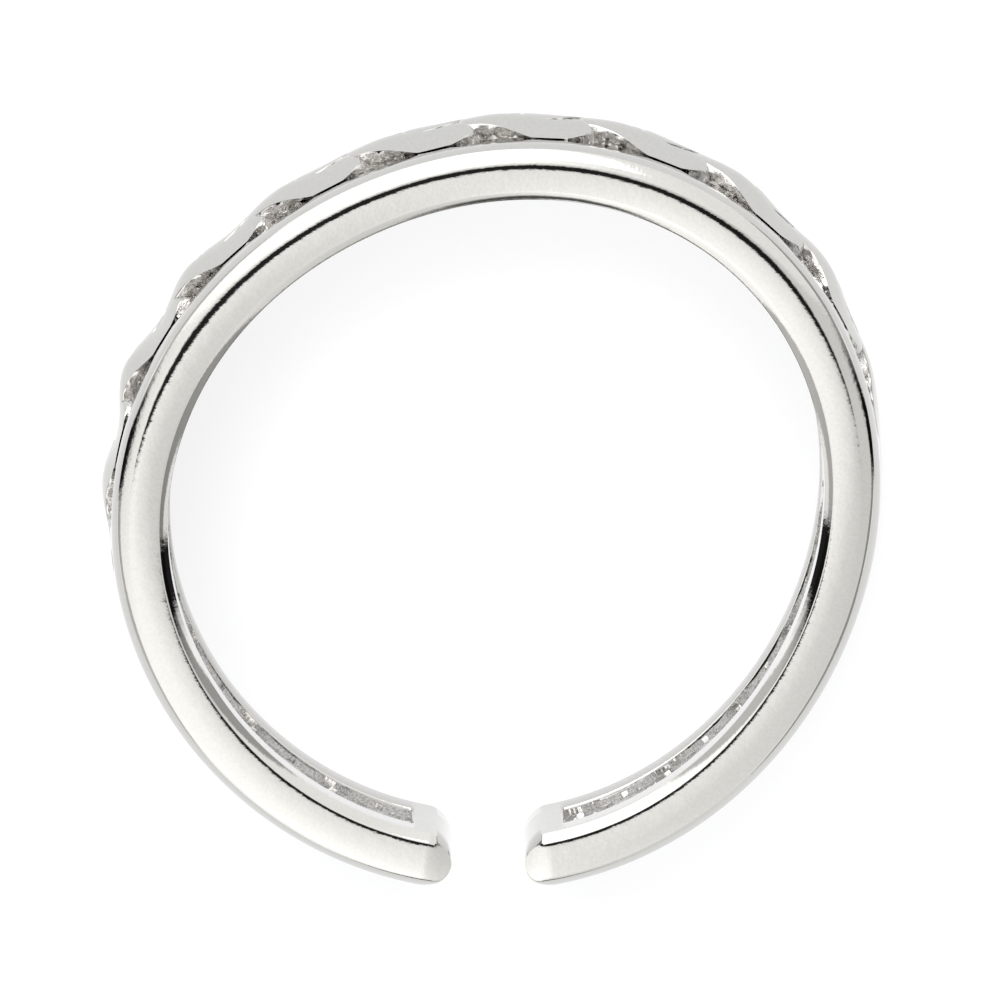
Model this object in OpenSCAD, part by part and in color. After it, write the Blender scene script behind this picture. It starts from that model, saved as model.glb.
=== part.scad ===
// Open toe ring, cast in one piece: two polished rails with a raised
// three-strand braid between them, hollowed behind the braid.
// The ring lies on its side. Its axis is +Z, its gap faces -Y and it
// rests on z = 0. All sizes are in millimetres, all angles in degrees.

/* [Ring] */
// Inside diameter, where the toe goes
inside_d = 15; // [13:0.1:19]
// Width of the band along the toe
band_w = 4; // [3.6:0.1:5]
// Opening between the two rounded ends
gap_w = 1.7; // [1:0.1:4]

/* [Rails] */
// Width of each rail along the toe
rail_w = 1.05; // [0.85:0.05:1.2]
// Thickness of the rails from the bore outwards
rail_t = 1.35; // [1.2:0.05:1.7]
// Radius that rounds the outer edges of the rails
edge_r = 0.4; // [0.2:0.05:0.5]
// Length of the solid cap that joins the rails at each end
cap_len = 0.7; // [0.5:0.1:1.5]

/* [Braid] */
// Length of one crossing of the braid along the band
crossing_len = 2.5; // [2:0.1:3.2]
// Width of one strand
strand_w = 0.95; // [0.6:0.05:1]
// Thickness of one strand
strand_t = 0.6; // [0.4:0.05:0.7]
// Rise and dive of a strand about its mean height, at the top of the ring
strand_rise = 0.3; // [0.2:0.05:0.45]
// Height of the crossings above the rails, at the top of the ring
crest_h = 0.45; // [0.2:0.05:0.6]
// Depth of the crossings below the rails, near the two ends
end_sink = 0.02; // [0.02:0.01:0.1]
// Distance that a crossing stands from the point opposite the gap
crossing_shift = -0.1; // [-1.2:0.02:1.2]

/* [Raised stretch] */
// Turn of its middle from the point opposite the gap
raised_turn = 9; // [-20:1:20]
// Angle to each side over which the braid keeps its full height
raised_half = 58; // [30:1:70]
// Angle over which it sinks from there to the rails
fade_angle = 47; // [20:1:60]

/* [Hollows] */
// Depth of the pockets between the strands, below the rails' outer surface
pocket_depth = 0.65; // [0.5:0.05:0.8]
// Thickness of the wall under the pockets
wall_t = 0.35; // [0.3:0.05:0.5]
// Depth of the groove that the hollow leaves inside the two solid ends
groove_d = 0.06; // [0.02:0.01:0.2]
// Share of the relief's height that is hollowed out behind it
imprint = 0.4; // [0:0.05:0.5]

/* [Hidden] */
$fn = 96;

in_r = inside_d / 2;
out_r = in_r + rail_t;
mid_r = in_r + rail_t / 2;
floor_r = out_r - pocket_depth;
hollow_r = floor_r - wall_t;
channel_w = band_w - 2 * rail_w;

// Angles round the ring, from the end right of the gap to the end left of it
function arc_angle(len, r) = len / r * 180 / PI;
end_angle = arc_angle(gap_w / 2 + rail_t / 2, mid_r);
first_a = -90 + end_angle;
last_a = 270 - end_angle;
cap_angle = arc_angle(cap_len - rail_t / 2 + edge_r, mid_r);
top_a = 90;

// The noses stand this much inside the band's outline, so that they never
// lie flush with it
nose_inset = 0.01;

// The strands just reach the rails at each swing
strand_contact = 0.05;
strand_swing = (channel_w - strand_w) / 2 + strand_contact;
end_rise = strand_rise / 2;

// The relief enters the rails and the caps by this much, below their surface,
// and starts plain at each end
relief_entry = 0.06;
end_entry = 0.24;
plain_len = 0.08;
seat_drop = 0.12;
seat_slope = 4;

// Grid of the relief: rows along the band, columns across it
rows_per_crossing = 8;
outer_columns = 14;
inner_columns = 8;
strands = 3;
crossing_angle = arc_angle(crossing_len, mid_r);
crossing_a = top_a - arc_angle(crossing_shift, mid_r);

// 1 on the raised stretch, falling smoothly to 0 near the two ends
function smooth(t) = let (u = max(0, min(1, t))) u * u * (3 - 2 * u);
function raised(a) =
    smooth((raised_half + fade_angle - abs(a - top_a - raised_turn)) / fade_angle);

// Position of a strand in its weave: a full weave takes three crossings
function weave(a, strand) =
    45 + 360 / strands * ((crossing_a - a) / crossing_angle + strand);
function strand_z(w) = strand_swing * sin(w);
function strand_top(a, w) =
    let (share = raised(a),
         rise = end_rise + (strand_rise - end_rise) * share,
         crest = -end_sink + (crest_h + end_sink) * share)
    out_r + crest - rise + rise * sin(2 * w);

// Outer surface of one strand over a point of the channel, or the floor
function strand_r(a, z, strand) =
    let (w = weave(a, strand), off = (z - strand_z(w)) / (strand_w / 2))
    abs(off) < 1
        ? strand_top(a, w) - strand_t / 2 * (1 - sqrt(1 - off * off))
        : floor_r;

// Outer surface of the braid, brought down to its seat at the rails
function seat_r(z) = out_r - seat_drop + seat_slope * (channel_w / 2 - abs(z));
function outer_r(a, z) =
    min(seat_r(z), max([floor_r, for (k = [0:strands - 1]) strand_r(a, z, k)]));
function inner_r(a, z) = hollow_r + imprint * max(0, outer_r(a, z) - floor_r);

function ring_point(a, r, z) = [r * cos(a), r * sin(a), z];
function across(columns) =
    let (half = channel_w / 2 + relief_entry)
    [for (j = [0:columns]) -half + 2 * half * j / columns];

// One closed row of points round the relief's cross-section, either with the
// strands and the hollow or as the plain wall
function section(a, plain = false) = concat(
    [for (z = across(outer_columns)) ring_point(a, plain ? floor_r : outer_r(a, z), z)],
    [for (z = across(inner_columns)) ring_point(a, plain ? hollow_r : inner_r(a, -z), -z)]
);

// Outline of the band, rounded at its four corners, about its own middle
module band_outline(inset = 0) {
    square([rail_t - 2 * edge_r, band_w - 2 * inset], center = true);
    square([rail_t - 2 * inset, band_w - 2 * edge_r], center = true);
    for (x = [-1, 1], y = [-1, 1])
        translate([x * (rail_t / 2 - edge_r), y * (band_w / 2 - edge_r)])
            circle(r = edge_r - inset);
}

module sweep_round(from_a, to_a) {
    rotate([0, 0, from_a])
        rotate_extrude(angle = to_a - from_a) children();
}

// Rounded nose that closes one end: a button, half of it inside the band
module nose(a) {
    translate([mid_r * cos(a), mid_r * sin(a), 0])
        rotate([0, 0, a + (a == first_a ? 90 : -90)])
            rotate_extrude()
                intersection() {
                    band_outline(nose_inset);
                    translate([0, -band_w / 2]) square([rail_t, band_w]);
                }
}

// Solid band with its noses, slotted for the braid: this leaves the rails and
// the caps. The hollow runs on over the caps as a shallow groove.
module rails() {
    difference() {
        union() {
            sweep_round(first_a, last_a)
                translate([mid_r, 0]) band_outline();
            nose(first_a);
            nose(last_a);
        }
        sweep_round(first_a + cap_angle, last_a - cap_angle)
            translate([mid_r, 0])
                square([2 * rail_t, channel_w], center = true);
        cylinder(r = in_r + groove_d, h = channel_w, center = true);
    }
}

// Braid relief and the wall behind it, as one closed surface: each end is
// plain and closed round its middle, and lies inside a cap
module braid() {
    entry_a = arc_angle(end_entry, mid_r);
    plain_a = arc_angle(plain_len, mid_r);
    from_a = first_a + cap_angle - entry_a;
    to_a = last_a - cap_angle + entry_a;
    turn = to_a - from_a - 2 * plain_a;
    count = ceil(turn / crossing_angle * rows_per_crossing);
    n = outer_columns + inner_columns + 2;
    rows = count + 2;
    middle_r = (floor_r + hollow_r) / 2;
    points = concat(
        section(from_a, true),
        [for (i = [0:count]) each section(from_a + plain_a + turn * i / count)],
        section(to_a, true),
        [ring_point(from_a, middle_r, 0), ring_point(to_a, middle_r, 0)]
    );
    middle = (rows + 1) * n;
    faces = concat(
        [for (j = [0:n - 1]) [middle, (j + 1) % n, j]],
        [for (i = [0:rows - 1], j = [0:n - 1])
            let (a = i * n + j, b = i * n + (j + 1) % n) [a, b + n, a + n]],
        [for (i = [0:rows - 1], j = [0:n - 1])
            let (a = i * n + j, b = i * n + (j + 1) % n) [a, b, b + n]],
        [for (j = [0:n - 1]) [middle + 1, rows * n + j, rows * n + (j + 1) % n]]
    );
    polyhedron(points, faces, convexity = 8);
}

module band() {
    color("silver")
        translate([0, 0, band_w / 2]) {
            rails();
            braid();
        }
}

band();
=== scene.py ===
"""Open toe ring, cast in one piece in sterling silver and polished.

Two rails run round the toe and carry a raised three-strand plait between
them. The band is hollowed behind the plait and its two ends are rounded.
The ring lies on its side: its axis is +Z, its gap faces -Y and it rests on
z = 0. Sizes are in millimetres and degrees until a piece is finished, which
puts it in metres.
"""

import logging
import math
from collections.abc import Callable, Iterable
from dataclasses import dataclass, field
from enum import Enum
from functools import cache, cached_property

import bmesh
import bpy
from bmesh.types import BMEdge, BMesh, BMVert
from mathutils import Matrix, Vector, noise

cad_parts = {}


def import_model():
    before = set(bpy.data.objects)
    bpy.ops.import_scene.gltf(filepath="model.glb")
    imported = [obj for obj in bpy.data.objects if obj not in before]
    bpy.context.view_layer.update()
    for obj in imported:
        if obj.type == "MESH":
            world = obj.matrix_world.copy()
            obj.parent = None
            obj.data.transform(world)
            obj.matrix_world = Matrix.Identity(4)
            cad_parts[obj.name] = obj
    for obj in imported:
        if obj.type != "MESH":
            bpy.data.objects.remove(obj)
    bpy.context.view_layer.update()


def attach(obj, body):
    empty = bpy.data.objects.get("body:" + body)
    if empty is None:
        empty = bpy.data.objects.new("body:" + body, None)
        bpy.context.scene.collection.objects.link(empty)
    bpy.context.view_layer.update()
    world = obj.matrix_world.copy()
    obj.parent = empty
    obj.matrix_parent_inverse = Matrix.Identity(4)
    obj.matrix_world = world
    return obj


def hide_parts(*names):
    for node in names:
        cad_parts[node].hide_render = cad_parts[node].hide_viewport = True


log = logging.getLogger("toe_ring")

METRES_PER_MM = 0.001
BODY = "root"
NODE = "band"
# Points closer than this, in millimetres, are one point.
WELD = 1e-3
# Room left in comparisons of places, in millimetres.
HAIR = 1e-4
# Side of the square picture, in pixels.
PICTURE_PX = 1000


class Finish(Enum):
    """Finishes of the cast silver."""

    POLISHED = "polished"
    CAST = "cast"
    TUMBLED = "tumbled"


class Side(Enum):
    """The two ends of the band, by the side of the gap that they are on."""

    RIGHT = 1
    LEFT = -1


# Sizes


@dataclass(frozen=True)
class BandSizes:
    """Main sizes of the band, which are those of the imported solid.

    Attributes:
        bore_radius: Radius of the hole for the toe.
        thickness: Thickness of the rails from the bore outwards.
        width: Width of the band along the toe.
        rail_width: Width of each rail along the toe.
        gap: Opening between the two rounded ends.
        cap_length: Length of the solid cap that joins the rails at an end.
        corner: Depth of the rounding that ends the slot behind each cap.
        pocket_depth: Depth of the pockets between the strands.
        wall: Thickness of the wall under the pockets.
    """

    bore_radius: float = 7.5
    thickness: float = 1.35
    width: float = 4.0
    rail_width: float = 1.05
    gap: float = 1.7
    cap_length: float = 0.7
    corner: float = 0.4
    pocket_depth: float = 0.65
    wall: float = 0.35

    @cached_property
    def outer_radius(self) -> float:
        """Radius of the rails' outer surface."""
        return self.bore_radius + self.thickness

    @cached_property
    def mid_radius(self) -> float:
        """Radius of the middle of the rails."""
        return self.bore_radius + self.thickness / 2

    @cached_property
    def channel(self) -> float:
        """Width of the channel between the rails."""
        return self.width - 2 * self.rail_width

    @cached_property
    def floor_radius(self) -> float:
        """Radius of the floor of the pockets."""
        return self.outer_radius - self.pocket_depth

    @cached_property
    def hollow_radius(self) -> float:
        """Radius of the hollow behind the plait."""
        return self.floor_radius - self.wall

    @cached_property
    def first_angle(self) -> float:
        """Angle where the nose right of the gap starts."""
        return -90 + self.arc(self.gap / 2 + self.thickness / 2)

    @cached_property
    def last_angle(self) -> float:
        """Angle where the nose left of the gap starts."""
        return 270 - self.arc(self.gap / 2 + self.thickness / 2)

    @cached_property
    def cap_angle(self) -> float:
        """Angle that a solid cap takes, without its nose."""
        return self.arc(self.cap_length - self.thickness / 2 + self.corner)

    def arc(self, length: float) -> float:
        """Turns a length along the middle of the rails into an angle."""
        return math.degrees(length / self.mid_radius)


@dataclass(frozen=True)
class PlaitSizes:
    """Sizes of the plait and the law by which its strands run.

    Attributes:
        band: Sizes of the band that carries it.
        crossing: Length of one crossing along the band.
        strands: Number of strands.
        strand_width: Width of one strand.
        strand_thickness: Thickness of one strand.
        rise: Half of the depth to which a strand dives.
        crest: Height of the crossings above the rails.
        sink: Depth of the crossings below the rails near the ends.
        contact: How far a strand reaches into the rail at its swing.
        shift: Distance of a crossing from the point opposite the gap.
        raised_turn: Turn of the raised stretch from that point.
        raised_half: Half of the raised stretch.
        fade: Angle over which the plait sinks to the rails.
        right_early: How much sooner it starts to sink on the right side.
        imprint: Share of the relief that is hollowed out behind it.
        dive_phase: Phase at which a strand is deepest under another.
        dive_width: Half of the stretch over which it dives.
        worn: Height that polishing has worn off the crossings.
        sharp: How sharply the strands turn back at the rails.
        flare: Share by which a strand is wider across the middle.
        neck: Share of the crest that is missing between two crossings.
        left_neck: Share that is missing besides on the left side.
        right_neck: Share that is missing besides on the right side.
        crest_angle: Angle of one crest.
        left_from: Angle beyond which the left necks deepen.
        left_over: Angle over which they do.
        right_from: Angle below which the right necks deepen.
        right_over: Angle over which they do.
        dome_reach: How far the polished dome reaches over the rails.
    """

    band: BandSizes
    crossing: float = 2.5
    strands: int = 3
    strand_width: float = 0.76
    strand_thickness: float = 0.62
    rise: float = 0.3
    crest: float = 0.45
    sink: float = 0.02
    contact: float = 0.12
    shift: float = -0.1
    raised_turn: float = 9
    raised_half: float = 58
    fade: float = 47
    right_early: float = 14
    imprint: float = 0.2
    dive_phase: float = 152
    dive_width: float = 24
    worn: float = 0.1
    sharp: float = 0.25
    flare: float = 0.12
    neck: float = 0.1
    left_neck: float = 0.66
    right_neck: float = 0.25
    crest_angle: float = 161
    left_from: float = 115
    left_over: float = 60
    right_from: float = 70
    right_over: float = 25
    dome_reach: float = 0.05

    @cached_property
    def swing(self) -> float:
        """Half of the way that a strand swings across the channel."""
        reach = (self.band.channel - self.strand_width) / 2 + self.contact
        return reach / (1 + self.sharp)

    def spread(self, phase: float) -> float:
        """Gives how much wider than at the rails a strand is."""
        return 1 + self.flare * abs(math.cos(math.radians(phase)))

    def raised(self, angle: float) -> float:
        """Gives the share of full height that the plait has.

        Args:
            angle: Angle round the ring.

        Returns:
            1 on the raised stretch, falling smoothly to 0 near the ends.
        """
        away = angle - 90 - self.raised_turn
        fade = self.fade + (self.right_early if away < 0 else 0)
        share = (self.raised_half + self.fade - abs(away)) / fade
        return smooth(share)

    def weave(self, angle: float, strand: int) -> float:
        """Gives where a strand is in its weave.

        Args:
            angle: Angle round the ring.
            strand: Number of the strand.

        Returns:
            The phase in degrees; a full weave takes three crossings.
        """
        start = 90 - self.band.arc(self.shift)
        step = self.band.arc(self.crossing)
        return 45 + 360 / self.strands * ((start - angle) / step + strand)

    def strand_z(self, phase: float) -> float:
        """Gives how far a strand stands from the middle of the band."""
        turn = math.radians(phase)
        return self.swing * (math.sin(turn) - self.sharp * math.sin(3 * turn))

    def strand_top(self, angle: float, phase: float) -> float:
        """Gives the radius of a strand's outer surface.

        Args:
            angle: Angle round the ring.
            phase: Phase of the strand's weave there.

        Returns:
            The radius from the ring's axis.
        """
        share = self.raised(angle)
        crest = -self.sink + (self.crest + self.sink) * share
        away = (phase - self.dive_phase + 90) % 180 - 90
        dive = self.rise * (1 + share) * math.exp(-((away / self.dive_width) ** 2))
        return self.band.outer_radius + crest + self.worn - dive

    def dome(self, angle: float, z: float) -> float:
        """Gives the radius to which polishing has worn the plait down.

        Args:
            angle: Angle round the ring.
            z: Distance from the middle of the band.

        Returns:
            The radius from the ring's axis.
        """
        share = self.raised(angle)
        crest = -self.sink + (self.crest + self.sink) * share
        turn = math.tau * (angle - self.crest_angle) / self.band.arc(self.crossing)
        left = clamp((angle - self.left_from) / self.left_over)
        right = clamp((self.right_from - angle) / self.right_over)
        deep = self.neck + self.left_neck * left + self.right_neck * right
        dip = 0.5 * (1 - math.cos(turn)) * deep
        across = min(1.0, abs(z) / (self.band.channel / 2 + self.dome_reach))
        return self.band.outer_radius + crest * (1 - dip) * math.cos(across * math.pi / 2)

    def heights(self, angle: float, z: float) -> tuple[float, float]:
        """Gives how high the plait stands over the floor of its pockets.

        Args:
            angle: Angle round the ring.
            z: Distance from the middle of the band.

        Returns:
            The heights of the highest strand over that point and of the next
            one below it, or 0.
        """
        first = second = 0.0
        for middle, top in self.strands_at(round(angle, 3)):
            off = (z - middle) / (self.strand_width / 2)
            if abs(off) < 1:
                drop = self.strand_thickness / 2 * (1 - math.sqrt(1 - off * off))
                height = top - drop - self.band.floor_radius
                first, second = max(first, height), max(second, min(first, height))
        return first, second

    @cache
    def strands_at(self, angle: float) -> list[tuple[float, float]]:
        """Gives the place along the axis and the top of each strand."""
        phases = [self.weave(angle, strand) for strand in range(self.strands)]
        return [(self.strand_z(p), self.strand_top(angle, p)) for p in phases]


@dataclass(frozen=True)
class HandForming:
    """The slight unevenness of a band that was bent by hand on a mandrel.

    Attributes:
        oval: Depth of its oval.
        oval_angle: Angle of the oval's long axis.
        lobes: Depth of its three lobes.
        lobe_angle: Angle of one lobe.
    """

    oval: float = 0.24
    oval_angle: float = 39.5
    lobes: float = -0.097
    lobe_angle: float = -12.4

    def offset(self, angle: float) -> float:
        """Gives how far the band stands outside a true circle at an angle."""
        two = math.cos(math.radians(2 * (angle - self.oval_angle)))
        three = math.cos(math.radians(3 * (angle - self.lobe_angle)))
        return self.oval * two + self.lobes * three


# Shaping


def clamp(share: float) -> float:
    """Keeps a share between 0 and 1."""
    return max(0.0, min(1.0, share))


def smooth(share: float) -> float:
    """Gives 0 to 1 with a soft start and end for a share from 0 to 1."""
    share = clamp(share)
    return share * share * (3 - 2 * share)


def ring_angle(co: Vector) -> float:
    """Gives a point's angle round the ring, from -90 to 270 degrees."""
    angle = math.degrees(math.atan2(co.y, co.x))
    return angle if angle >= -90 else angle + 360


def draw_outline(bm: BMesh, radius: float, angle: float) -> list[BMEdge]:
    """Turns a flat shape into its outline alone, at the start of a bar.

    A bar lies straight: x is the angle round the ring, y the distance from
    its axis and z the place along the axis.

    Args:
        bm: The mesh, drawn with x outwards and y along the axis.
        radius: Distance of the shape's middle from the axis.
        angle: Angle where the bar starts.

    Returns:
        The edges of the outline.
    """
    inner = [e for e in bm.edges if not e.is_boundary]
    bmesh.ops.delete(bm, geom=bm.faces[:], context="FACES_ONLY")
    bmesh.ops.delete(bm, geom=inner, context="EDGES")
    place = Matrix(((0, 0, 1, angle), (1, 0, 0, radius), (0, 1, 0, 0), (0, 0, 0, 1)))
    bmesh.ops.transform(bm, matrix=place, verts=bm.verts)
    return bm.edges[:]


def draw_bar(bm: BMesh, edges: Iterable[BMEdge], span: float, steps: int) -> None:
    """Draws an outline out into a straight bar.

    Args:
        bm: The mesh that holds the outline.
        edges: Edges of the outline.
        span: Angle that the bar takes round the ring.
        steps: Number of steps along it.
    """
    drawn = bmesh.ops.extrude_edge_only(bm, edges=list(edges))["geom"]
    far = [v for v in drawn if isinstance(v, BMVert)]
    bmesh.ops.translate(bm, vec=(span, 0.0, 0.0), verts=far)
    long = [e for e in bm.edges if abs(e.verts[0].co.x - e.verts[1].co.x) > WELD]
    bmesh.ops.subdivide_edges(bm, edges=long, cuts=steps - 1, use_grid_fill=True)


def bend(bm: BMesh, law: Callable[[float, float, float], tuple[float, float]]) -> None:
    """Bends a straight bar round the ring's axis.

    Args:
        bm: The mesh of the bar.
        law: Takes angle, radius and z, and gives the new radius and z.
    """
    for vert in bm.verts:
        turn = math.radians(vert.co.x)
        radius, z = law(*vert.co)
        vert.co = radius * math.cos(turn), radius * math.sin(turn), z


def finish_piece(
    bm: BMesh, name: str, materials: list[bpy.types.Material], sizes: BandSizes,
    forming: HandForming, crease: float = 40.0,
) -> bpy.types.Object:
    """Turns a mesh round z = 0 into a finished piece on the floor.

    Args:
        bm: The mesh in millimetres, which is freed.
        name: Name of the piece.
        materials: Its finishes, by the number that its faces carry.
        sizes: Sizes of the band.
        forming: Unevenness of the band.
        crease: Edges sharper than this angle stay sharp.

    Returns:
        The piece, in metres and with its place in its mesh.
    """
    for vert in bm.verts:
        flat = vert.co.xy.normalized() * forming.offset(ring_angle(vert.co))
        vert.co += Vector((flat.x, flat.y, sizes.width / 2))
    bmesh.ops.recalc_face_normals(bm, faces=bm.faces)
    bmesh.ops.scale(bm, vec=(METRES_PER_MM,) * 3, verts=bm.verts)
    mesh = bpy.data.meshes.new(name)
    bm.to_mesh(mesh)
    bm.free()
    mesh.shade_smooth()
    mesh.set_sharp_from_angle(angle=math.radians(crease))
    for material in materials:
        mesh.materials.append(material)
    piece = bpy.data.objects.new(name, mesh)
    bpy.context.collection.objects.link(piece)
    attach(piece, BODY)
    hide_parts(NODE)
    return piece


# Materials


def linear(hex_colour: str) -> tuple[float, float, float, float]:
    """Turns an sRGB hex colour into linear RGBA.

    Args:
        hex_colour: Six hex digits.

    Returns:
        Red, green, blue and an alpha of 1.
    """
    channels = [int(hex_colour[i : i + 2], 16) / 255 for i in (0, 2, 4)]
    return (
        *(c / 12.92 if c <= 0.04045 else ((c + 0.055) / 1.055) ** 2.4 for c in channels),
        1.0,
    )


def add_node(
    tree: bpy.types.NodeTree, kind: str, links: dict | None = None, **settings: object
) -> bpy.types.Node:
    """Adds a node with its settings and links.

    Args:
        tree: The node tree.
        kind: The node's type.
        links: Input name or number to the output socket that feeds it.
        **settings: Attributes of the node, or values of inputs by their
            name with underscores for spaces.

    Returns:
        The node.
    """
    node = tree.nodes.new(kind)
    for key, value in settings.items():
        if hasattr(node, key):
            setattr(node, key, value)
        else:
            node.inputs[key.replace("_", " ")].default_value = value
    for key, socket in (links or {}).items():
        tree.links.new(socket, node.inputs[key])
    return node


@dataclass(frozen=True)
class SilverFinish:
    """One finish of cast sterling silver, with painted shade in the low spots of its pores.

    Attributes:
        name: The finish's plain name.
        colour: Colour of the metal.
        pit_shade: Colour painted into the low spots of its pores, as painted shade.
        roughness: Roughness of the surface.
        grain: Size of its unevenness, in millimetres.
        height: Height of that unevenness, in millimetres.
        pores: Depth of its casting pores, in millimetres.
    """

    name: str
    colour: str
    pit_shade: str
    roughness: float
    grain: float
    height: float
    pores: float

    def material(self) -> bpy.types.Material:
        """Builds the procedural material."""
        made = bpy.data.materials.new(self.name)
        made.use_nodes = True
        tree = made.node_tree
        tree.nodes.clear()
        where = add_node(tree, "ShaderNodeTexCoord").outputs["Object"]
        # Grain sizes are in millimetres and object coordinates in metres.
        per_metre = 1 / (self.grain * METRES_PER_MM)
        swell = add_node(
            tree, "ShaderNodeTexNoise", {"Vector": where},
            Scale=per_metre, Detail=2.0, Roughness=0.5,
        )
        fine = add_node(
            tree, "ShaderNodeTexNoise", {"Vector": where},
            Scale=per_metre * 4.5, Detail=4.0, Roughness=0.65,
        )
        # Painted shade: the fine noise that dents the pores also mixes in the darker pit
        # colour, so the pores' low spots are painted darker as if shaded.
        pit_shade_share = add_node(
            tree, "ShaderNodeMapRange", {"Value": fine.outputs["Fac"]},
            From_Min=0.32, From_Max=0.62,
        )
        colour = add_node(
            tree, "ShaderNodeMix", {0: pit_shade_share.outputs["Result"]}, data_type="RGBA"
        )
        colour.inputs["A"].default_value = linear(self.pit_shade)
        colour.inputs["B"].default_value = linear(self.colour)
        rough = add_node(
            tree, "ShaderNodeMapRange", {"Value": swell.outputs["Fac"]},
            To_Min=self.roughness * 0.7, To_Max=self.roughness * 1.4,
        )
        bump = add_node(
            tree, "ShaderNodeBump", {"Height": swell.outputs["Fac"]},
            Strength=1.0, Distance=self.height * METRES_PER_MM,
        )
        pits = add_node(
            tree, "ShaderNodeBump",
            {"Height": fine.outputs["Fac"], "Normal": bump.outputs["Normal"]},
            Strength=1.0, Distance=self.pores * METRES_PER_MM,
        )
        shader = add_node(
            tree, "ShaderNodeBsdfPrincipled",
            {
                "Base Color": colour.outputs["Result"],
                "Roughness": rough.outputs["Result"],
                "Normal": pits.outputs["Normal"],
            },
            Metallic=1.0,
        )
        add_node(
            tree, "ShaderNodeOutputMaterial", {"Surface": shader.outputs["BSDF"]}
        )
        return made


# Rails


@dataclass
class Rails:
    """The two rails with the solid caps and noses that join them.

    Attributes:
        sizes: Sizes of the band.
        forming: Unevenness of the band.
        bevel: Rounding between a rail's side and its outer face.
        chamfer: Width of the slope between a rail's side and the bore.
        curve: Change of slope for each millimetre across a rail's side.
        lean: Distance of the side's top outwards of the rail's middle.
        fold: Change of slope at the fold that buffing left along a side.
        fold_at: Distance of the fold outwards of the rail's middle.
        fold_width: Width over which a side turns at the fold.
        fold_widens: How much wider that is at the top of the ring.
        low_lean: Lean on the lower part of the ring.
        low_fold: Change of slope at the inner edge of the side there.
        worn_edge: Width of the worn outer edge at the top of the ring.
        low_worn_edge: Width of the worn outer edge on the lower part.
        worn_slope: Slope of the worn edge.
        taper: Fall of a rail's outer face from the plait to its side.
        rim: Rounding along the edges of the slot.
        worn_soft: Softness of its upper end.
        low_middle: Angle opposite the middle of the lower part.
        low_half: Angle from there to the start of the lower part.
        low_fade: Angle over which it takes over.
        nose_turn: Angle that a nose turns through before its flat tip.
        rim_angle: Edges that turn more than this are rims.
        steps: Steps of the sweep round the ring.
        nose_steps: Steps round each nose.
    """

    sizes: BandSizes
    forming: HandForming
    bevel: float = 0.14
    chamfer: float = 0.17
    curve: float = 0.25
    lean: float = 0.067
    fold: float = 0.25
    fold_at: float = 0.21
    fold_width: float = 0.22
    fold_widens: float = 0.2
    low_lean: float = -0.25
    low_fold: float = 0.34
    worn_edge: float = 0.1
    low_worn_edge: float = 0.22
    worn_slope: float = 1.3
    taper: float = 0.06
    rim: float = 0.05
    worn_soft: float = 0.02
    low_middle: float = 98
    low_half: float = 68
    low_fade: float = 45
    nose_turn: float = 88
    rim_angle: float = 80
    steps: int = 720
    nose_steps: int = 24

    def outline(self, bm: BMesh) -> list[BMEdge]:
        """Draws the rounded outline of the band at the first end.

        Args:
            bm: The mesh to draw in.

        Returns:
            The edges of the outline, standing in its radial plane.
        """
        size = self.sizes
        half_t, half_w = size.thickness / 2, size.width / 2
        bmesh.ops.create_grid(bm, x_segments=1, y_segments=1, size=0.5)
        bmesh.ops.scale(bm, vec=(size.thickness, size.width, 1.0), verts=bm.verts)
        for inward, offset, segments in (
            (False, self.bevel, 5), (True, self.chamfer, 1)
        ):
            corners = [
                v for v in bm.verts
                if (v.co.x < 0) == inward and abs(v.co.y) > half_w - HAIR
                and abs(v.co.x) > half_t - HAIR
            ]
            bmesh.ops.bevel(
                bm, geom=corners, offset=offset, offset_type="OFFSET",
                segments=segments, profile=0.5, affect="VERTICES", material=-1,
            )
        reach = half_t - max(self.bevel, self.chamfer)
        for x in (i / 8 * reach for i in range(-8, 9)):
            bmesh.ops.bisect_plane(
                bm, geom=bm.verts[:] + bm.edges[:] + bm.faces[:],
                plane_co=(x, 0.0, 0.0), plane_no=(1.0, 0.0, 0.0),
            )
        for y in (-size.channel / 2, size.channel / 2):
            bmesh.ops.bisect_plane(
                bm, geom=bm.verts[:] + bm.edges[:] + bm.faces[:],
                plane_co=(0.0, y, 0.0), plane_no=(0.0, 1.0, 0.0),
            )
        return draw_outline(bm, size.mid_radius, size.first_angle)

    def nose(self, bm: BMesh, edges: Iterable[BMEdge], side: Side) -> None:
        """Rounds one end off by drawing its outline on and narrowing it.

        Args:
            bm: The mesh of the bar.
            edges: Edges of the outline at that end.
            side: The end.
        """
        size = self.sizes
        reach = size.arc(size.thickness / 2)
        turned = 0.0
        for step in range(1, self.nose_steps + 1):
            last, turned = turned, math.radians(step / self.nose_steps * self.nose_turn)
            drawn = bmesh.ops.extrude_edge_only(bm, edges=list(edges))["geom"]
            edges = [e for e in drawn if isinstance(e, BMEdge) and e.is_boundary]
            onward = reach * (math.sin(turned) - math.sin(last)) * -side.value
            narrower = math.cos(turned) / math.cos(last)
            for vert in (v for v in drawn if isinstance(v, BMVert)):
                vert.co.x += onward
                vert.co.y = size.mid_radius + (vert.co.y - size.mid_radius) * narrower
        bmesh.ops.holes_fill(bm, edges=edges)

    def low(self, angle: float) -> float:
        """Gives 0 on the upper part of the ring and 1 on the lower part."""
        return smooth((abs(angle - self.low_middle) - self.low_half) / self.low_fade)

    @staticmethod
    def turned(past: float, width: float) -> float:
        """Gives how far a side has fallen at a point past a fold.

        Args:
            past: Distance from the middle of the fold.
            width: Width over which the side turns.

        Returns:
            The fall for a change of slope of 1.
        """
        share = past / width + 0.5
        inside = clamp(share)
        return width * (inside**3 - inside**4 / 2 + max(0.0, share - 1))

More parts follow.
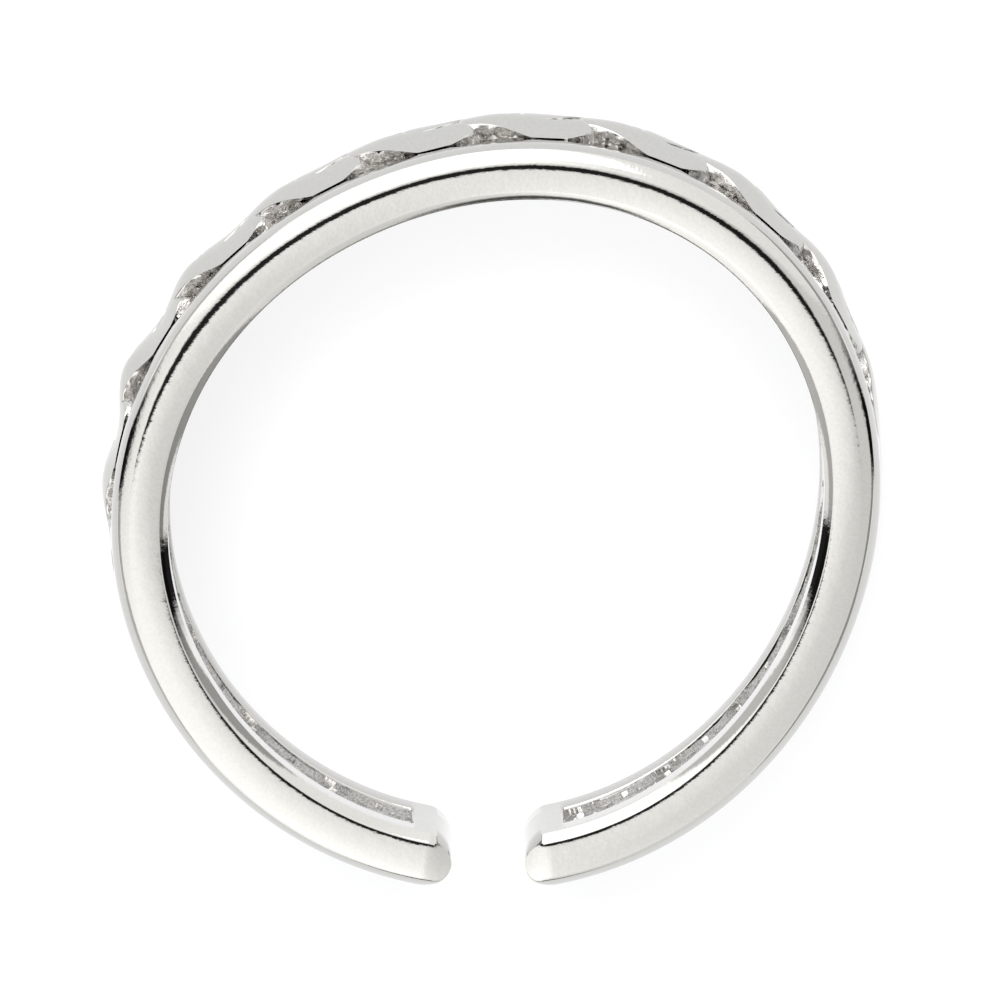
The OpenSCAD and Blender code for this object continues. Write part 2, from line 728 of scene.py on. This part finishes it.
    def law(self, angle: float, radius: float, z: float) -> tuple[float, float]:
        """Shapes the rails' sides and their worn outer edges.

        Args:
            angle: Angle round the ring.
            radius: Distance from the axis.
            z: Distance from the middle of the band.

        Returns:
            The new radius and z.
        """
        size = self.sizes
        low = self.low(angle)
        outward = max(0.0, (radius - size.mid_radius) / size.thickness * 2)
        fall = self.taper * outward * (abs(z) - size.channel / 2) / size.rail_width
        if abs(z) < size.width / 2 - self.chamfer - WELD:
            return radius - max(0.0, fall), z
        inside = min(angle - size.first_angle, size.last_angle - angle)
        past = max(0.0, -inside) / size.arc(1.0)
        lean = self.lean + (self.low_lean - self.lean) * low
        inner = self.chamfer - size.thickness / 2
        off = max(radius - size.mid_radius, inner)
        drop = self.curve / 2 * ((off - lean) ** 2 + 2 * past**2)
        top = max(0.0, math.sin(math.radians(angle)))
        width = self.fold_width + self.fold_widens * top
        drop += self.fold * (1 - low) * self.turned(off - self.fold_at, width)
        drop += self.low_fold * low * self.turned(inner - off, self.fold_width)
        worn = self.worn_edge + (self.low_worn_edge - self.worn_edge) * low
        over = radius - size.outer_radius + worn
        drop += self.worn_slope * 0.5 * (over + math.hypot(over, self.worn_soft))
        return radius - fall, z - math.copysign(drop, z)

    def cut_slot(self, bm: BMesh) -> None:
        """Opens the slot for the plait.

        Args:
            bm: The mesh of the band.
        """
        size = self.sizes
        low = size.first_angle + size.cap_angle
        high = size.last_angle - size.cap_angle
        reach = size.channel / 2 + HAIR
        across = [
            f for f in bm.faces
            if all(abs(v.co.z) < reach for v in f.verts)
            and low < f.calc_center_median().x < high
        ]
        bmesh.ops.delete(bm, geom=across, context="FACES")
        rims = [
            e for e in bm.edges
            if e.is_boundary and size.first_angle + 0.1 < e.verts[0].co.x
            < size.last_angle - 0.1
        ]
        bmesh.ops.bridge_loops(bm, edges=rims)

    def round_rims(self, bm: BMesh) -> None:
        """Rounds the rims of the slot.

        Args:
            bm: The mesh of the bent band.
        """
        rims = [
            e for e in bm.edges
            if len(e.link_faces) == 2 and e.calc_face_angle() > math.radians(self.rim_angle)
        ]
        bmesh.ops.bevel(
            bm, geom=rims, offset=self.rim, offset_type="OFFSET", segments=2,
            profile=0.5, affect="EDGES", material=-1, clamp_overlap=True,
        )

    def build(self, material: bpy.types.Material) -> bpy.types.Object:
        """Builds the rails.

        Args:
            material: Their finish.

        Returns:
            The finished piece.
        """
        size = self.sizes
        bm = bmesh.new()
        edges = self.outline(bm)
        draw_bar(bm, edges, size.last_angle - size.first_angle, self.steps)
        self.cut_slot(bm)
        ends = [e for e in bm.edges if e.is_boundary]
        for side in Side:
            there = [e for e in ends if (90 - e.verts[0].co.x) * side.value > 0]
            self.nose(bm, there, side)
        bend(bm, self.law)
        bmesh.ops.remove_doubles(bm, verts=bm.verts, dist=WELD)
        self.round_rims(bm)
        return finish_piece(bm, "rails", [material], size, self.forming)


# Plait


@dataclass
class Strand:
    """One strand of the plait, which weaves between the two rails.

    Attributes:
        sizes: Sizes of the band.
        plait: Sizes of the plait.
        forming: Unevenness of the band.
        number: Number of the strand.
        sides: Sides of its cross-section.
        steps: Steps of the sweep round the ring.
        flatness: How far its section is squared, from 0 to 1.
        edge: Softness of the edge that polishing leaves.
        rough: Height of the casting's lumps on its flanks.
        ridge: Spacing of the ridges there.
        flank_from: Depth under the polished dome where the flanks start.
        flank_over: Depth over which they turn rough.
        warp: How unevenly the ridges run.
        ridge_share: Share of the roughness that is ridges.
        lump_share: Share of it that is lumps.
        lumps_per_mm: Fineness of the lumps.
        swell: Height of the swell that buffing leaves on the skin.
        swells_per_mm: Fineness of that swell.
        entry: Share of a cap that the strand runs into.
    """

    sizes: BandSizes
    plait: PlaitSizes
    forming: HandForming
    number: int
    sides: int = 56
    steps: int = 900
    flatness: float = 0.45
    edge: float = 0.03
    rough: float = 0.06
    ridge: float = 0.4
    flank_from: float = 0.02
    flank_over: float = 0.08
    warp: float = 0.4
    ridge_share: float = 0.6
    lump_share: float = 0.8
    lumps_per_mm: float = 6.0
    swell: float = 0.006
    swells_per_mm: float = 2.0
    entry: float = 0.5

    def law(self, angle: float, radius: float, z: float) -> tuple[float, float]:
        """Moves a point of the even tube to its place in the plait.

        Args:
            angle: Angle round the ring.
            radius: Distance from the axis.
            z: Distance from the tube's own middle.

        Returns:
            The new radius and z.
        """
        plait = self.plait
        phase = plait.weave(angle, self.number)
        side = math.copysign(1.0, z)
        radius += plait.strand_top(angle, phase) - self.sizes.outer_radius
        z = z * plait.spread(phase) + plait.strand_z(phase)
        over = radius - plait.dome(angle, z)
        along = math.radians(angle) * self.sizes.mid_radius
        here = Vector((along, z, radius))
        cast = clamp((-over - self.flank_from) / self.flank_over)
        warp = self.warp * noise.noise(here)
        ridge = math.sin(math.tau * (along / self.ridge + warp))
        lump = noise.noise(here * self.lumps_per_mm)
        rough = self.ridge_share * ridge + self.lump_share * lump
        z += side * cast * self.rough * rough
        worn = 0.5 * (over + math.sqrt(over * over + self.edge**2))
        swell = self.swell * noise.noise(here * self.swells_per_mm)
        return radius - worn + swell, z

    def build(self, materials: list[bpy.types.Material]) -> bpy.types.Object:
        """Builds the strand.

        Args:
            materials: Finish of its polished skin and of its flanks.

        Returns:
            The finished piece.
        """
        size, plait = self.sizes, self.plait
        half_w, half_t = plait.strand_width / 2, plait.strand_thickness / 2
        bm = bmesh.new()
        bmesh.ops.create_circle(bm, cap_ends=True, segments=self.sides, radius=1.0)
        for vert in bm.verts:
            # A circle pushed towards a rounded rectangle: polishing wears
            # the top of a strand flat before its flanks.
            push = (abs(vert.co.x) ** 3 + abs(vert.co.y) ** 3) ** (-1 / 3)
            vert.co *= 1 + (push - 1) * self.flatness
        bmesh.ops.scale(bm, vec=(half_t, half_w, 1.0), verts=bm.verts)
        entry = size.cap_angle * self.entry
        start = size.first_angle + entry
        edges = draw_outline(bm, size.outer_radius - half_t, start)
        draw_bar(bm, edges, size.last_angle - entry - start, self.steps)
        bmesh.ops.holes_fill(bm, edges=[e for e in bm.edges if e.is_boundary])
        bend(bm, self.law)
        for face in bm.faces:
            middle = face.calc_center_median()
            skin = plait.dome(ring_angle(middle), middle.z) - self.edge
            face.material_index = int(middle.xy.length < skin - self.flank_from)
        name = f"strand_{self.number + 1}"
        return finish_piece(bm, name, materials, size, self.forming, 60.0)


@dataclass
class Web:
    """The wall under the plait, cast rough in the pockets and hollowed inside.

    Attributes:
        sizes: Sizes of the band.
        plait: Sizes of the plait.
        forming: Unevenness of the band.
        columns: Faces across the channel, on each side of the wall.
        steps: Steps of the sweep round the ring.
        entry: How far it enters the rails.
        lumps: Height of the casting's lumps on the pockets' floor.
        depth: Depth of the pockets in the middle of the band.
        gutter: How much deeper they are beside the rails, or less deep.
        ridge: Spacing of the ridges on their floor.
        level: Distance of the hollow's floor from the bore.
        seam: Height of the seams between the strands' imprints.
        seam_width: Difference in the strands' heights that a seam spans.
        step: Depth of the groove along the rails.
        step_width: Width of that groove.
        fade: Distance from the rails over which the imprint fades.
        lumps_per_mm: Fineness of the lumps in the pockets.
        ridge_share: Height of the ridges, as a share of the lumps'.
        slant: Shift of the ridges for each millimetre across.
        warp: How unevenly the ridges run.
        warps_per_mm: Fineness of that unevenness.
        hollow_lumps: Height of the lumps in the hollow.
        hollow_lumps_per_mm: Fineness of those lumps.
        least: Least distance of the hollow's floor from the bore.
        cap_entry: Share of a cap that the web leaves free.
    """

    sizes: BandSizes
    plait: PlaitSizes
    forming: HandForming
    columns: int = 36
    steps: int = 1250
    entry: float = 0.05
    lumps: float = 0.1
    depth: float = 0.3
    gutter: float = -0.15
    ridge: float = 0.38
    level: float = 0.06
    seam: float = 0.07
    seam_width: float = 0.05
    step: float = 0.03
    step_width: float = 0.06
    fade: float = 0.25
    lumps_per_mm: float = 5.5
    ridge_share: float = 0.6
    slant: float = 0.9
    warp: float = 0.8
    warps_per_mm: float = 1.5
    hollow_lumps: float = 0.02
    hollow_lumps_per_mm: float = 3.5
    least: float = 0.02
    cap_entry: float = 0.8

    def law(self, angle: float, radius: float, z: float) -> tuple[float, float]:
        """Shapes the outer side with lumps and the inner one by the plait.

        Args:
            angle: Angle round the ring.
            radius: Distance from the axis.
            z: Distance from the middle of the band.

        Returns:
            The new radius and z.
        """
        size = self.sizes
        along = math.radians(angle) * size.mid_radius
        if radius > size.hollow_radius + size.wall / 2:
            lump = noise.noise(Vector((along, z, 0.0)) * self.lumps_per_mm)
            warp = self.warp * noise.noise(Vector((along, z, 3.0)) * self.warps_per_mm)
            turns = along / self.ridge + self.slant * z + warp
            ridge = math.sin(math.tau * turns)
            edge = (abs(z) / (size.channel / 2)) ** 4
            depth = self.depth + self.gutter * edge
            rough = self.lumps * (lump + self.ridge_share * ridge)
            return self.plait.dome(angle, z) - depth + rough, z
        first, second = self.plait.heights(angle, z)
        seam = self.seam * math.exp(-(((first - second) / self.seam_width) ** 2))
        beside = max(0.0, size.channel / 2 - abs(z))
        groove = self.step * math.exp(-((beside / self.step_width) ** 2))
        lump = noise.noise(Vector((along, z, 9.0)) * self.hollow_lumps_per_mm)
        share = 1 - math.exp(-((beside / self.fade) ** 2))
        dent = self.plait.imprint * first - seam
        depth = self.level + share * dent + groove + self.hollow_lumps * lump
        return size.bore_radius + max(self.least, depth), z

    def build(self, materials: list[bpy.types.Material]) -> bpy.types.Object:
        """Builds the web.

        Args:
            materials: Finish of its outer side and of the hollow.

        Returns:
            The finished piece.
        """
        size = self.sizes
        bm = bmesh.new()
        bmesh.ops.create_grid(bm, x_segments=1, y_segments=self.columns, size=0.5)
        width = size.channel + 2 * self.entry
        bmesh.ops.scale(bm, vec=(size.wall, width, 1.0), verts=bm.verts)
        entry = size.cap_angle * self.cap_entry
        start = size.first_angle + entry
        edges = draw_outline(bm, size.hollow_radius + size.wall / 2, start)
        draw_bar(bm, edges, size.last_angle - entry - start, self.steps)
        bmesh.ops.holes_fill(bm, edges=[e for e in bm.edges if e.is_boundary])
        bend(bm, self.law)
        for face in bm.faces:
            middle = face.calc_center_median()
            face.material_index = int(middle.xy.length < size.floor_radius - 0.05)
        return finish_piece(bm, "web", materials, size, self.forming, 60.0)


# Studio


@dataclass
class Studio:
    """Pale floor, soft light and the camera.

    Attributes:
        width: Width of the band, whose middle the camera aims at.
        elevation: Angle of the camera off the ring's axis, towards +Y.
        yaw: Angle of the camera off the ring's axis, towards +X.
        roll: Turn of the camera, which turns the ring clockwise.
        distance: Distance of the camera, in metres.
        pixels_per_mm: Pixels that a millimetre takes at the ring's middle.
        centre_px: Where the ring's middle falls in the photograph.
        upward: Place along Y and brightness of the room's light.
        sideways: Place along X and share of that brightness.
        panels: Place along X and brightness of the pale panels at both sides.
        floor_colour: Colour of the floor.
        floor_glow: How much the floor shines by itself, like a light table.
        floor_half: Half of the floor's side, in metres.
        lamp_watts: Power of the lamp.
        lamp_side: Side of the square lamp, in metres.
        lamp_place: Place of the lamp, in metres.
    """

    width: float = 4.0
    elevation: float = 9.0
    yaw: float = -0.8
    roll: float = 1.75
    distance: float = 0.3
    pixels_per_mm: float = 43.1
    centre_px: tuple[float, float] = (498.0, 506.0)
    upward: tuple[tuple[float, float], ...] = (
        (-1.0, 0.15), (-0.975, 0.15), (-0.93, 1.7), (-0.6, 2.15), (-0.35, 1.85),
        (-0.17, 1.7), (-0.1, 1.6), (-0.085, 0.03), (0.12, 0.03), (0.14, 1.1),
        (0.28, 2.2), (1.0, 2.3),
    )
    sideways: tuple[tuple[float, float], ...] = (
        (-1.0, 0.8), (-0.93, 0.8), (-0.9, 0.4), (-0.68, 0.4), (-0.64, 0.85),
        (-0.3, 1.0), (-0.12, 1.0), (0.0, 0.88), (0.12, 0.7), (0.35, 0.62),
        (0.64, 0.62), (0.68, 0.25), (0.9, 0.25), (0.93, 0.75), (1.0, 0.75),
    )
    panels: tuple[tuple[float, float], ...] = (
        (-1.0, 0.0), (-0.68, 0.0), (-0.64, 1.7), (-0.45, 1.7), (-0.38, 0.0),
        (0.28, 0.0), (0.34, 1.7), (0.64, 1.7), (0.68, 0.0), (1.0, 0.0),
    )
    floor_colour: str = "939496"
    floor_glow: float = 0.72
    floor_half: float = 2.0
    lamp_watts: float = 2.6
    lamp_side: float = 0.5
    lamp_place: tuple[float, float, float] = (-0.12, 0.55, 0.6)

    def camera(self) -> bpy.types.Object:
        """Places the camera at the photograph's viewing angle.

        Returns:
            The camera.
        """
        el, yaw = math.radians(self.elevation), math.radians(self.yaw)
        back = Vector(
            (math.sin(yaw) * math.cos(el), math.sin(el), math.cos(yaw) * math.cos(el))
        )
        right = Vector((0.0, 1.0, 0.0)).cross(back).normalized()
        up = back.cross(right)
        turn = Matrix.Rotation(math.radians(self.roll), 3, back)
        right, up = turn @ right, turn @ up
        data = bpy.data.cameras.new("camera")
        frame = PICTURE_PX / self.pixels_per_mm * METRES_PER_MM
        data.sensor_width = 36.0
        data.lens = data.sensor_width * self.distance / frame
        data.shift_x = 0.5 - self.centre_px[0] / PICTURE_PX
        data.shift_y = self.centre_px[1] / PICTURE_PX - 0.5
        data.clip_start, data.clip_end = 0.01, 20.0
        made = bpy.data.objects.new("camera", data)
        axes = Matrix((right, up, back)).transposed().to_4x4()
        target = Vector((0.0, 0.0, self.width / 2 * METRES_PER_MM))
        made.matrix_world = Matrix.Translation(target + back * self.distance) @ axes
        bpy.context.collection.objects.link(made)
        bpy.context.scene.camera = made
        return made

    def floor(self) -> bpy.types.Object:
        """Lays the plain pale floor.

        Returns:
            The floor.
        """
        made = bpy.data.materials.new("matt_white_paper")
        made.use_nodes = True
        shader = made.node_tree.nodes["Principled BSDF"]
        shader.inputs["Base Color"].default_value = linear(self.floor_colour)
        shader.inputs["Emission Color"].default_value = linear("FFFFFF")
        shader.inputs["Emission Strength"].default_value = self.floor_glow
        shader.inputs["Roughness"].default_value = 0.9
        shader.inputs["Specular IOR Level"].default_value = 0.0
        bm = bmesh.new()
        bmesh.ops.create_grid(bm, x_segments=1, y_segments=1, size=self.floor_half)
        mesh = bpy.data.meshes.new("floor")
        bm.to_mesh(mesh)
        bm.free()
        mesh.materials.append(made)
        piece = bpy.data.objects.new("floor", mesh)
        bpy.context.collection.objects.link(piece)
        return piece

    @staticmethod
    def set_stops(ramp: bpy.types.Node, stops: Iterable[tuple[float, float]]) -> None:
        """Sets the stops of a colour ramp that runs from -1 to 1.

        Args:
            ramp: The ramp's node.
            stops: Place and grey level of each stop.
        """
        stops = list(stops)
        elements = ramp.color_ramp.elements
        for place, _ in stops[2:]:
            elements.new((place + 1) / 2)
        for element, (place, level) in zip(elements, stops):
            element.position = (place + 1) / 2
            element.color = (level, level * 0.993, level * 0.98, 1.0)

    def sky(self) -> None:
        """Fills the room with soft light.

        It is white above and pale in front, with a dim strip between them
        and a pale panel at each side.
        """
        world = bpy.data.worlds.new("light_tent")
        world.use_nodes = True
        tree = world.node_tree
        tree.nodes.clear()
        way = add_node(tree, "ShaderNodeTexCoord").outputs["Generated"]
        parts = add_node(tree, "ShaderNodeSeparateXYZ", {"Vector": way})
        band = add_node(
            tree, "ShaderNodeMapRange", {"Value": parts.outputs["Y"]},
            From_Min=-1.0, From_Max=1.0,
        )
        across = add_node(
            tree, "ShaderNodeMapRange", {"Value": parts.outputs["X"]},
            From_Min=-1.0, From_Max=1.0,
        )
        tall = add_node(tree, "ShaderNodeValToRGB", {"Fac": band.outputs["Result"]})
        self.set_stops(tall, self.upward)
        wide = add_node(tree, "ShaderNodeValToRGB", {"Fac": across.outputs["Result"]})
        self.set_stops(wide, self.sideways)
        sides = add_node(tree, "ShaderNodeValToRGB", {"Fac": across.outputs["Result"]})
        self.set_stops(sides, self.panels)
        brighter = add_node(
            tree, "ShaderNodeVectorMath",
            {0: tall.outputs["Color"], 1: sides.outputs["Color"]}, operation="MAXIMUM",
        )
        light = add_node(
            tree, "ShaderNodeBackground",
            {"Color": brighter.outputs["Vector"], "Strength": wide.outputs["Color"]},
        )
        add_node(
            tree, "ShaderNodeOutputWorld", {"Surface": light.outputs["Background"]}
        )
        bpy.context.scene.world = world

    def lamp(self) -> None:
        """Hangs a large soft lamp over the back of the ring."""
        data = bpy.data.lights.new("soft_lamp", "AREA")
        data.shape, data.size = "SQUARE", self.lamp_side
        data.energy = self.lamp_watts
        made = bpy.data.objects.new("soft_lamp", data)
        place = Vector(self.lamp_place)
        made.matrix_world = (
            Matrix.Translation(place) @ place.to_track_quat("Z", "Y").to_matrix().to_4x4()
        )
        bpy.context.collection.objects.link(made)

    def build(self) -> None:
        """Builds floor, light and camera."""
        view = bpy.context.scene.view_settings
        view.view_transform, view.look = "Standard", "None"
        self.camera()
        self.floor()
        self.sky()
        self.lamp()


@dataclass
class ToeRing:
    """The whole ring.

    Attributes:
        sizes: Sizes of the band.
        forming: Unevenness of the band.
        pieces: Finished pieces.
    """

    sizes: BandSizes = field(default_factory=BandSizes)
    forming: HandForming = field(default_factory=HandForming)
    pieces: list[bpy.types.Object] = field(default_factory=list)

    def finishes(self) -> dict[Finish, bpy.types.Material]:
        """Makes the finishes of the ring.

        Returns:
            The material of each finish.
        """
        # Sterling silver, tumbled and buffed: mirror-bright, slightly warm, with the faint
        # swell that buffing leaves on a casting, and a faint painted shade in the low spots
        # of its pores.
        polished = SilverFinish(
            "polished_sterling_silver", "C4C3C0", "BFBEBB", 0.015, 0.35, 0.0035, 0.0013
        )
        # Sterling silver as it came out of the mould, where the buff does not
        # reach: matt and grainy, and darker in its pores through painted shade.
        cast = SilverFinish(
            "cast_sterling_silver", "D2D0CD", "9C9A98", 0.12, 0.2, 0.04, 0.02
        )
        # Sterling silver inside the hollow, which only the tumbler reaches: the
        # casting's skin, softened and lightly shining, with strong painted shade in its
        # pores.
        tumbled = SilverFinish(
            "tumbled_sterling_silver", "C9C7C4", "7F7D7A", 0.3, 0.25, 0.01, 0.005
        )
        return {
            Finish.POLISHED: polished.material(),
            Finish.CAST: cast.material(),
            Finish.TUMBLED: tumbled.material(),
        }

    def build(self) -> None:
        """Builds every piece of the ring."""
        finishes = self.finishes()
        plait = PlaitSizes(self.sizes)
        rails = Rails(self.sizes, self.forming)
        self.pieces.append(rails.build(finishes[Finish.POLISHED]))
        for number in range(plait.strands):
            strand = Strand(self.sizes, plait, self.forming, number)
            skin, flank = finishes[Finish.POLISHED], finishes[Finish.CAST]
            self.pieces.append(strand.build([skin, flank]))
        web = Web(self.sizes, plait, self.forming)
        outside, inside = finishes[Finish.CAST], finishes[Finish.TUMBLED]
        self.pieces.append(web.build([outside, inside]))
        for piece in self.pieces:
            log.info("%s: %d faces", piece.name, len(piece.data.polygons))


def main() -> None:
    """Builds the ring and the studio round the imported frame."""
    logging.basicConfig(level=logging.INFO, format="%(message)s")
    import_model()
    ToeRing().build()
    Studio().build()


if __name__ == "__main__":
    main()
